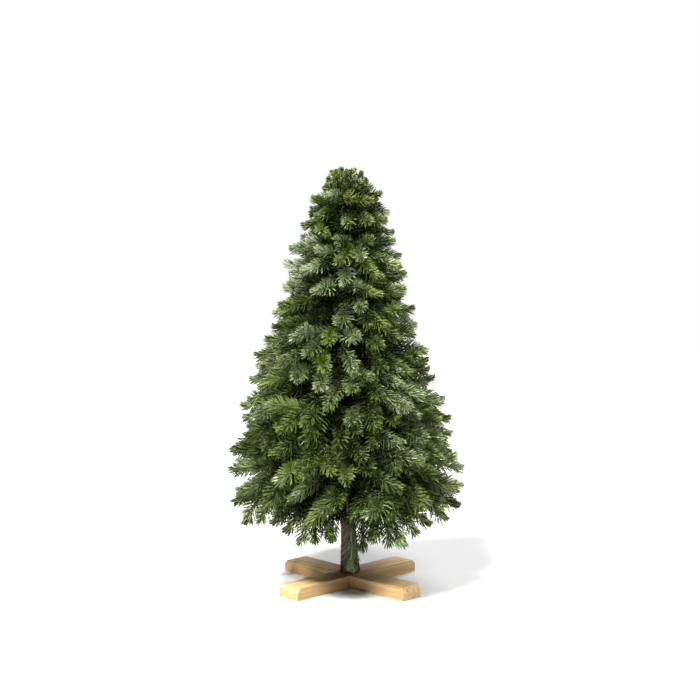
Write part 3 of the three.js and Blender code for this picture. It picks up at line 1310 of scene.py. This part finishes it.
    def _gaps(self, place: np.ndarray, spots: tuple[Patch | Hollow, ...]) -> list[float]:
        """Measures from a place to the middles of patches or hollows.

        Args:
            place: the place.
            spots: the patches or hollows, each taken to lie as far out as the place.

        Returns:
            The distance to each.
        """
        middle = self.trunk.middle_at(place[2])
        away = np.linalg.norm((place - middle)[:2])
        gaps = []
        for spot in spots:
            angle = math.radians(spot.azimuth)
            at = middle + away * np.array([math.cos(angle), math.sin(angle), 0])
            at[2] = self.low + spot.height * (self.high - self.low)
            gaps.append(float(np.linalg.norm(place - at)))
        return gaps

    def _in_hollow(self, place: np.ndarray, margin: float = 1.0) -> bool:
        """Whether a place lies in one of the crown's hollows.

        Args:
            place: the place.
            margin: a factor on the hollows' radii.

        Returns:
            Whether it does.
        """
        gaps = self._gaps(place, self.hollows)
        return any(gap < hollow.radius * margin for gap, hollow in zip(gaps, self.hollows))

    def _tint(self, place: np.ndarray) -> Tint:
        """Deals a shoot its colour.

        Args:
            place: the shoot's tip.

        Returns:
            The colour.
        """
        for gap, patch in zip(self._gaps(place, self.patches), self.patches):
            if gap < patch.size and self.rng.random() < patch.share:
                return patch.tint
        high = self.share_of(place[2])
        # pale GREY and FROST sprays grow commoner with height and LEAF rarer: painted light on the
        # upper crown, painted shade low down
        odds = {
            Tint.LEAF: 0.58 - 0.30 * high,
            Tint.FRESH: 0.10 + 0.04 * high,
            Tint.OLIVE: 0.03,
            Tint.GREY: 0.22 + 0.14 * high,
            Tint.FROST: 0.02 + 0.20 * high,
        }
        weights = np.array(list(odds.values()))
        return list(odds)[self.rng.choice(len(odds), p=weights / weights.sum())]

    def _way(self, tip: np.ndarray, normal: np.ndarray, is_tip: bool) -> np.ndarray:
        """Draws the way that a shoot's end points.

        Args:
            tip: the tip's place.
            normal: the direction of the mass's surface there.
            is_tip: whether the mass is the crown's blunt tip.

        Returns:
            The direction.
        """
        rule = self.shoot_rule
        if is_tip:
            base = self.trunk.middle_at(self.trunk.middles[-1, 2] - 0.02)
            return unit(unit(tip - base) + self.rng.normal(0, rule.tip_wander, 3))
        outward = unit(self.trunk.outward(tip))
        gain = rule.slope_gain * self.share_of(tip[2]) ** 0.9
        slope = math.radians(rule.slope + gain + self.rng.normal(0, rule.slope_wander))
        swing = math.radians(self.rng.normal(0, rule.swing_wander))
        level = outward * math.cos(swing) + np.cross(UP, outward) * math.sin(swing)
        way = level * math.cos(slope) + UP * math.sin(slope)
        above, below = rule.lean_out
        return unit(way + (above if normal[2] > -0.3 else below) * normal)

    def _fork(self, limbs: list[Line], end: np.ndarray, way: np.ndarray) -> Ray:
        """Finds where a shoot leaves its limb with the least strain.

        Args:
            limbs: the mass's limbs.
            end: the shoot's end.
            way: the way that its end points.

        Returns:
            The place on a limb, and the limb's direction there.
        """
        best_span = self.shoot_rule.reach
        end_strain, start_strain = self.shoot_rule.strain
        least, best = math.inf, (end, way)
        for line, _ in limbs:
            tangents = unit(np.gradient(line, axis=0))
            to_end = end - line
            span = np.linalg.norm(to_end, axis=1)
            heading = to_end / np.maximum(span, 1e-6)[:, None]
            cost = np.abs(span - best_span) / best_span + end_strain * (1 - heading @ way)
            cost += start_strain * (1 - (heading * tangents).sum(axis=1))
            pick = int(cost.argmin())
            if cost[pick] < least:
                least, best = cost[pick], (line[pick], tangents[pick])
        return best

    def _shoot(
        self, name: str, tip: np.ndarray, normal: np.ndarray, limbs: list[Line], is_tip: bool
    ) -> None:
        """Grows one shoot from the best limb to its tip, unless it crosses a hollow.

        Args:
            name: the mass's name.
            tip: the tip's place on the mass's surface.
            normal: the surface's direction there.
            limbs: the mass's limbs.
            is_tip: whether the mass is the crown's blunt tip.
        """
        rule = self.shoot_rule
        share = self.share_of(tip[2])
        habit = TIP_HABIT if is_tip else CROWN_HABIT
        way = self._way(tip, normal, is_tip)
        end = tip - way * (self.overhang + (self.rng.uniform(*self.tip_inset) if is_tip else 0.0))
        start, heading = self._fork(limbs, end, way)
        span = np.linalg.norm(end - start)
        leave = unit(heading * 0.6 + unit(end - start))
        controls = [start, start + leave * span * 0.35, end - way * span * 0.38, end]
        path = bezier(controls, PATH_POINTS["shoot"])
        if any(self._in_hollow(place, rule.open_share) for place in path[rule.outer_points :]):
            return
        leafed = path_lengths(path)[-1] - rule.bare
        self.shoots.append(
            Shoot(
                path=path,
                tint=self._tint(tip),
                group=self.group_of(name),
                leafed=min(leafed, rule.tip_leafed if is_tip else self.rng.uniform(*rule.leafed)),
                density=habit.at(habit.density, share),
                needle=habit.at(habit.needle, share) * self.rng.uniform(*rule.needle_size),
                spread=math.radians(habit.spread + self.rng.normal(0, rule.spread_wander)),
                lift=habit.lift,
            )
        )

    def _hang(self, name: str) -> None:
        """Grows one bunch of sprays that hangs clear under the skirt.

        Args:
            name: the bunch's node.
        """
        points = triangles_of(name).reshape(-1, 3)
        top = points[points[:, 2] > points[:, 2].max() - 0.004].mean(axis=0)
        low = points[points[:, 2] < points[:, 2].min() + 0.004].mean(axis=0)
        out = unit(self.trunk.outward(top))
        side_way = np.cross(UP, out)
        is_front = name.endswith("front")
        mirror = -1.0 if out[0] > 0 and not is_front else 1.0
        for share, rise in self.front_sprays if is_front else self.low_sprays:
            aside = side_way * share * mirror
            start = top - out * 0.05 + UP * 0.03 + aside * 0.5
            end = low + UP * (self.overhang + rise) + aside
            turn = UP * 0.04 if is_front else UP * 0.030 - out * 0.022 - aside * 0.6
            leave = top + aside * 0.7 + UP * 0.01
            path = bezier([start, leave, end + turn, end], PATH_POINTS["low"])
            is_main = share == 0.0
            leafed = min(path_lengths(path)[-1] - self.shoot_rule.bare, 0.09)
            habit = THIN_HABIT if is_front and is_main else LOW_HABIT
            tint = Tint.GREY if is_main else Tint.LEAF
            self._add(path, tint, self.group_of(name), leafed, habit)


# ---------------------------------------------------------------- needles, twigs and buds


@dataclass
class Needles:
    """The needles, joined into a few pieces from the skirt up.

    Attributes:
        growth: the grown crown.
        width: a needle's width.
        thickness: a needle's thickness.
        bend: how far a needle's end is bent forward, as a share of its length, least and most.
        size: factor on a needle's length, least and most.
        crowding: from 1, how much closer the needles stand towards a shoot's end.
        turn_wander: spread of their turn round the twig, in radians.
        spread_wander: spread of their angle to the twig, in radians.
        rounded: the share of a shoot from which its needles narrow to a round end.
        narrowing: by what share their angle closes there.
        shortening: by what share their length shrinks there.
        crest: how many needles close a shoot's end.
        crest_fan: widest angle of those, in radians.
        crest_wander: spread of that angle.
        crest_size: factor on their length.
        seed: seed of every draw.
        groups: each piece, with how the names of its masses begin.
    """

    growth: Growth
    width: float = 0.0016
    thickness: float = 0.0011
    bend: tuple[float, float] = (0.26, 0.44)
    size: tuple[float, float] = (0.88, 1.05)
    crowding: float = 1.12
    turn_wander: float = 0.10
    spread_wander: float = 0.07
    rounded: float = 0.68
    narrowing: float = 0.20
    shortening: float = 0.30
    crest: int = 32
    crest_fan: float = 0.85
    crest_wander: float = 0.05
    crest_size: float = 1.14
    seed: int = 23
    groups: tuple[tuple[str, tuple[str, ...]], ...] = (
        ("needles_skirt_a", ("tier_1_1", "tier_1_2", "tier_1_3")),
        ("needles_skirt_b", ("tier_1_4", "tier_1_5", "tier_1_6", "hanging")),
        ("needles_tier_2", ("tier_2",)),
        ("needles_tier_3", ("tier_3",)),
        ("needles_tier_4", ("tier_4",)),
        ("needles_tier_5", ("tier_5",)),
        ("needles_top", ("tier_6", "tier_7", "tip")),
    )

    def _blade(self) -> bpy.types.Object:
        """Builds the unit needle: a three-sided blade along +Z, with its flat side to +Y.

        Returns:
            The needle's object, outside the scene, with the values "along" and "underside".
        """
        points = []
        for z, wide in ((0.0, 0.6), (0.84, 1.0)):
            points += [(-wide / 2, 0.35, z), (wide / 2, 0.35, z), (0.0, -0.65, z)]
        points.append((0.0, 0.1, 1.0))
        faces, under = [], []
        for side in range(3):
            i, j = side, (side + 1) % 3
            faces += [(i, i + 3, j + 3), (i, j + 3, j), (i + 3, 6, j + 3)]
            under += [side != 0] * 3
        mesh = bpy.data.meshes.new("needle_blade")
        mesh.from_pydata(points, [], faces)
        along = mesh.attributes.new("along", "FLOAT", "POINT")
        along.data.foreach_set("value", [p[2] for p in points])
        below = mesh.attributes.new("underside", "FLOAT", "FACE")
        below.data.foreach_set("value", [float(u) for u in under])
        return bpy.data.objects.new("needle_blade", mesh)

    def _on_shoot(self, shoot: Shoot, rng: np.random.Generator) -> dict[str, np.ndarray]:
        """Places the needles of one shoot.

        Args:
            shoot: the shoot.
            rng: the source of draws.

        Returns:
            The needles' places and values.
        """
        run = path_lengths(shoot.path)
        body = max(12, int(shoot.leafed * shoot.density))
        spaced = 1 - (1 - np.linspace(0, 1, body)) ** self.crowding
        share = np.concatenate([spaced, np.ones(self.crest)])
        at = run[-1] - shoot.leafed * (1 - share)
        places = np.stack([np.interp(at, run, shoot.path[:, i]) for i in range(3)], axis=1)
        tangents = unit(np.gradient(shoot.path, axis=0))
        way = unit(np.stack([np.interp(at, run, tangents[:, i]) for i in range(3)], axis=1))
        upper = UP * 0.8 + unit(self.growth.trunk.outward(shoot.path[-1])) * 0.5
        upper = unit(upper - (way @ upper)[:, None] * way)
        across = np.cross(way, upper)
        count = len(share)
        angle = np.arange(count) * GOLDEN_ANGLE + rng.normal(0, self.turn_wander, count)
        radial = np.cos(angle)[:, None] * upper + np.sin(angle)[:, None] * across
        radial = unit(radial + shoot.lift * upper)
        close = smooth(self.rounded, 1.0, share)
        spread = shoot.spread * (1 - self.narrowing * close)
        spread += rng.normal(0, self.spread_wander, count)
        fan = np.linspace(0.0, 1.0, self.crest) ** 0.7 * self.crest_fan
        spread[body:] = fan + rng.normal(0, self.crest_wander, self.crest)
        lie = unit(np.cos(spread)[:, None] * way + np.sin(spread)[:, None] * radial)
        face = way * 0.8 + upper * 0.45
        face = unit(face - (face * lie).sum(axis=1)[:, None] * lie)
        length = shoot.needle * rng.uniform(*self.size, count) * (1 - self.shortening * close)
        length[body:] *= self.crest_size
        tint = self._tints(shoot, share, rng)
        bend = rng.uniform(*self.bend, count)
        return {"place": places, "lie": lie, "face": face, "length": length, "bend": bend, "tint": tint}

    def _tints(self, shoot: Shoot, share: np.ndarray, rng: np.random.Generator) -> np.ndarray:
        """Deals each needle of a shoot its colour.

        Args:
            shoot: the shoot.
            share: how far along the shoot each needle sits, from 0 to 1 at its end.
            rng: the source of draws.

        Returns:
            The colours' numbers.
        """
        tints = list(Tint)
        tint = np.full(len(share), tints.index(shoot.tint), dtype=np.int32)
        high = self.growth.share_of(shoot.path[-1][2])
        # painted shade: a share of needles everywhere, more on the blunt tip and most at each shoot's
        # base, take the darkest tint
        dim = 0.34 if shoot.group == "tip" else 0.10
        # the paler tips are fresh growth; their share rising with height is painted light
        young = 0.10 + (0.16 + 0.24 * high) * smooth(0.60, 0.95, share)
        shaded = dim + (1 - dim) * 0.66 * (1 - smooth(0.10, 0.50, share))
        # darker companions, commoner low down, are painted shade between needles
        for odds, other in (
            (young, shoot.tint.young()),
            (0.44 - 0.34 * high, shoot.tint.companion()),
            (shaded, Tint.DEEP),
        ):
            tint[rng.random(len(share)) < odds] = tints.index(other)
        return tint

    def build(self) -> None:
        """Builds every piece of needles, each standing for its masses."""
        rng = np.random.default_rng(self.seed)
        recipe = needle_recipe()
        blade = self._blade()
        growth = self.growth
        sizes = {"Needle": blade, "Width": self.width, "Thickness": self.thickness}
        for name, tiers in self.groups:
            sets = [self._on_shoot(s, rng) for s in growth.shoots if s.group.startswith(tiers)]
            values = {key: np.concatenate([one[key] for one in sets]) for key in sets[0]}
            places = values.pop("place")
            mesh = cloud_mesh(f"{name}_points", places, np.empty((0, 2), dtype=int), values)
            masses = [m for m in growth.all_masses() if growth.group_of(m).startswith(tiers)]
            finish_piece(recipe.run(name, mesh, sizes), "needles", *masses)
        bpy.data.objects.remove(blade)


@dataclass
class Twigs:
    """The limbs inside the masses and the shoots' own stems.

    Attributes:
        growth: the grown crown.
        stem: radius of a shoot at its start.
    """

    growth: Growth
    stem: float = 0.0016

    def build(self, recipe: Recipe, bark: bpy.types.Material, young: bpy.types.Material) -> None:
        """Builds the limbs and the stems.

        Args:
            recipe: the tree for limbs.
            bark: the material of limbs.
            young: the material of young stems.
        """
        ends = (self.stem, self.stem * 0.55)
        stems = [(s.path, np.linspace(*ends, len(s.path))) for s in self.growth.shoots]
        for name, lines, finish, sides, step in (
            ("limbs", self.growth.limbs, bark, 8, 0.010),
            ("twigs", stems, young, 5, 0.011),
        ):
            values = {"Sides": sides, "Step": step, "Relief": 0.0006, "Fineness": 400.0, "Bark": finish}
            finish_piece(recipe.run(name, polylines(f"{name}_lines", lines), values), "bark")


@dataclass
class Buds:
    """The small resinous buds that close each shoot.

    Attributes:
        growth: the grown crown.
        length: a bud's length.
        slim: its width as a share of its length.
        seed: seed of every draw.
    """

    growth: Growth
    length: float = 0.0052
    slim: float = 0.56
    seed: int = 31

    def _bud(self) -> bpy.types.Object:
        """Builds the unit bud: an egg along +Z, six-sided, pointed at its end.

        Returns:
            The bud's object, outside the scene.
        """
        sides = 6
        rings = ((0.0, 0.55), (0.35, 1.0), (0.72, 0.66))
        points = [
            (wide * self.slim / 2 * math.cos(turn), wide * self.slim / 2 * math.sin(turn), z)
            for z, wide in rings
            for turn in np.arange(sides) * 2 * math.pi / sides
        ]
        points += [(0.0, 0.0, -0.05), (0.0, 0.0, 1.0)]
        base, tip = len(points) - 2, len(points) - 1
        faces: list[tuple[int, ...]] = []
        for side in range(sides):
            after = (side + 1) % sides
            faces.append((base, after, side))
            faces.append((side + 2 * sides, after + 2 * sides, tip))
            for ring in range(len(rings) - 1):
                low, high = ring * sides, (ring + 1) * sides
                faces.append((side + low, after + low, after + high, side + high))
        mesh = bpy.data.meshes.new("bud_shape")
        mesh.from_pydata(points, [], faces)
        return bpy.data.objects.new("bud_shape", mesh)

    def build(self, skin: bpy.types.Material) -> None:
        """Builds all the buds as one piece: one at each shoot's end and one to either side.

        Args:
            skin: the material of the bud scales.
        """
        rng = np.random.default_rng(self.seed)
        places, lies, faces, lengths = [], [], [], []
        for shoot in self.growth.shoots:
            if shoot.tint is Tint.DEEP:
                continue
            way = unit(shoot.path[-1] - shoot.path[-2])
            across = unit(np.cross(way, UP) + 1e-6)
            for aside in (-1.0, 0.0, 1.0):
                lies.append(unit(way + aside * 0.8 * across))
                faces.append(unit(np.cross(lies[-1], across) + 1e-6))
                places.append(shoot.path[-1] - way * 0.002 * abs(aside))
                lengths.append(self.length * rng.uniform(0.8, 1.1) * (0.8 if aside else 1.0))
        values = {"lie": np.array(lies), "face": np.array(faces), "length": np.array(lengths)}
        mesh = cloud_mesh("bud_points", np.array(places), np.empty((0, 2), dtype=int), values)
        shape = self._bud()
        finish_piece(bud_recipe().run("buds", mesh, {"Bud": shape, "Skin": skin}), "bark")
        bpy.data.objects.remove(shape)


# ---------------------------------------------------------------- stand


@dataclass
class Stand:
    """The wooden cross and its screws.

    Attributes:
        edge: radius of the boards' worn edges.
        late_wood: linear colour of the grain's dark streaks.
        early_wood: linear colour of the wood between them.
        turns: each board's node and its turn round Z.
    """

    edge: float = 0.0012
    late_wood: Colour = (0.42, 0.25, 0.10)
    early_wood: Colour = (0.66, 0.46, 0.24)
    turns: tuple[tuple[str, float], ...] = (
        ("stand_board_upper", math.pi / 4),
        ("stand_board_lower", -math.pi / 4),
    )

    def build(self) -> None:
        """Builds both boards and dresses the screws."""
        for node, turn in self.turns:
            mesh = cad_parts[node].data.copy()
            mesh.materials.clear()
            wood = SawnWoodFinish(f"sawn_wood_{node[-5:]}", self.late_wood, self.early_wood, turn)
            piece = new_object(node.replace("stand_", "") + "_sawn", mesh)
            mesh.materials.append(wood.material())
            weld = piece.modifiers.new("weld", "WELD")
            weld.merge_threshold = 0.00002
            bevel = piece.modifiers.new("bevel", "BEVEL")
            bevel.width = self.edge
            bevel.segments = 2
            bevel.limit_method = "ANGLE"
            bevel.angle_limit = math.radians(35)
            graph = bpy.context.evaluated_depsgraph_get()
            finished = bpy.data.meshes.new_from_object(piece.evaluated_get(graph))
            piece.modifiers.clear()
            piece.data = finished
            finished.name = piece.name
            finish_piece(piece, "board", node)
        steel = PlainFinish("zinc_steel", (0.55, 0.56, 0.57), 0.32, 0.5).material()
        steel.node_tree.nodes["Principled BSDF"].inputs["Metallic"].default_value = 1.0
        for node in nodes_named("stand_screw"):
            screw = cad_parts[node]
            screw.data.materials.clear()
            screw.data.materials.append(steel)


# ---------------------------------------------------------------- studio


@dataclass
class Studio:
    """The floor, the light and the camera.

    Attributes:
        distance: from the camera to the trunk.
        eye: the camera's height.
        aim: the height that it looks at.
        view_width: width of the view at the trunk.
        low_light: brightness of the surround at the horizon.
        top_light: brightness of the surround overhead.
        backdrop: brightness of the surround where it is seen.
    """

    distance: float = 2.2
    eye: float = 0.58
    aim: float = 0.422
    view_width: float = 1.246
    low_light: float = 0.02
    top_light: float = 0.27
    backdrop: float = 1.0

    def build(self) -> None:
        """Builds the studio."""
        self._floor()
        self._world()
        self._sun("key", (-0.9, -1.2, 2.0), 9.0, 14.0, (1.0, 0.985, 0.955))
        self._sun("back", (0.7, 1.5, 2.0), 3.4, 40.0, (1.0, 1.0, 1.0))
        self._sun("second", (0.9, -1.2, 2.0), 2.2, 26.0, (0.98, 0.99, 1.0))
        camera = bpy.data.objects.new("camera", bpy.data.cameras.new("camera"))
        bpy.context.scene.collection.objects.link(camera)
        camera.location = (0.0, -self.distance, self.eye)
        towards = Vector((0.0, 0.0, self.aim)) - camera.location
        camera.rotation_euler = towards.to_track_quat("-Z", "Y").to_euler()
        camera.data.lens = camera.data.sensor_width * towards.length / self.view_width
        bpy.context.scene.camera = camera
        bpy.context.scene.view_settings.view_transform = "Standard"

    @staticmethod
    def _floor() -> None:
        """Lays the pale floor."""
        mesh = bpy.data.meshes.new("floor")
        half = 6.0
        corners = [(-half, -half, 0), (half, -half, 0), (half, half, 0), (-half, half, 0)]
        mesh.from_pydata(corners, [], [(0, 1, 2, 3)])
        floor = new_object("floor", mesh)
        floor.data.materials.append(PlainFinish("pale_floor", (0.55, 0.55, 0.545), 0.8, 0.1).material())

    def _world(self) -> None:
        """Sets a plain white surround that lights softly."""
        world = bpy.data.worlds.new("surround")
        bpy.context.scene.world = world
        world.use_nodes = True
        back = world.node_tree.nodes["Background"]
        back.inputs["Color"].default_value = (1.0, 1.0, 1.0, 1.0)
        nodes, link = world.node_tree.nodes, world.node_tree.links.new
        way = nodes.new("ShaderNodeTexCoord")
        parts = nodes.new("ShaderNodeSeparateXYZ")
        dome = nodes.new("ShaderNodeMapRange")
        dome.inputs["To Min"].default_value = self.low_light
        dome.inputs["To Max"].default_value = self.top_light
        path = nodes.new("ShaderNodeLightPath")
        level = nodes.new("ShaderNodeMix")
        level.inputs["B"].default_value = self.backdrop
        link(way.outputs["Generated"], parts.inputs["Vector"])
        link(parts.outputs["Z"], dome.inputs["Value"])
        link(path.outputs["Is Camera Ray"], level.inputs["Factor"])
        link(dome.outputs["Result"], level.inputs["A"])
        link(level.outputs["Result"], back.inputs["Strength"])

    @staticmethod
    def _sun(
        name: str, place: tuple[float, float, float], power: float, size: float, colour: Colour
    ) -> None:
        """Hangs one broad, far lamp aimed at the crown.

        Args:
            name: the lamp's name.
            place: the side that it shines from.
            power: its power, in watts a square metre.
            size: how wide it looks from the tree, in degrees.
            colour: its linear colour.
        """
        light = bpy.data.lights.new(name, "SUN")
        light.angle = math.radians(size)
        light.energy = power
        light.color = colour
        lamp = bpy.data.objects.new(name, light)
        bpy.context.scene.collection.objects.link(lamp)
        lamp.location = place
        lamp.rotation_euler = (-Vector(place)).to_track_quat("-Z", "Y").to_euler()


# ---------------------------------------------------------------- main


def main() -> None:
    """Builds the tree from the trunk out, then the stand and the studio."""
    logging.basicConfig(level=logging.INFO, format="%(name)s %(message)s")
    old_bark = BarkFinish("old_bark", (0.036, 0.029, 0.020), (0.112, 0.090, 0.062), 260.0)
    shaded_bark = BarkFinish("shaded_bark", (0.014, 0.014, 0.009), (0.040, 0.038, 0.024), 300.0)
    young_bark = PlainFinish("young_bark", (0.058, 0.062, 0.025), 0.7, 0.3)
    bud_scales = PlainFinish("bud_scales", (0.135, 0.078, 0.034), 0.42, 0.5)
    trunk_bark = old_bark.material()
    limb = limb_recipe()
    trunk = Trunk()
    trunk.build(limb, trunk_bark)
    boughs = Boughs(trunk)
    boughs.build(limb, trunk_bark)
    growth = Growth(trunk, boughs)
    growth.grow()
    LOG.info("grown: %d limbs, %d shoots", len(growth.limbs), len(growth.shoots))
    Twigs(growth).build(limb, shaded_bark.material(), young_bark.material())
    Needles(growth).build()
    Buds(growth).build(bud_scales.material())
    Stand().build()
    Studio().build()


if __name__ == "__main__":
    main()
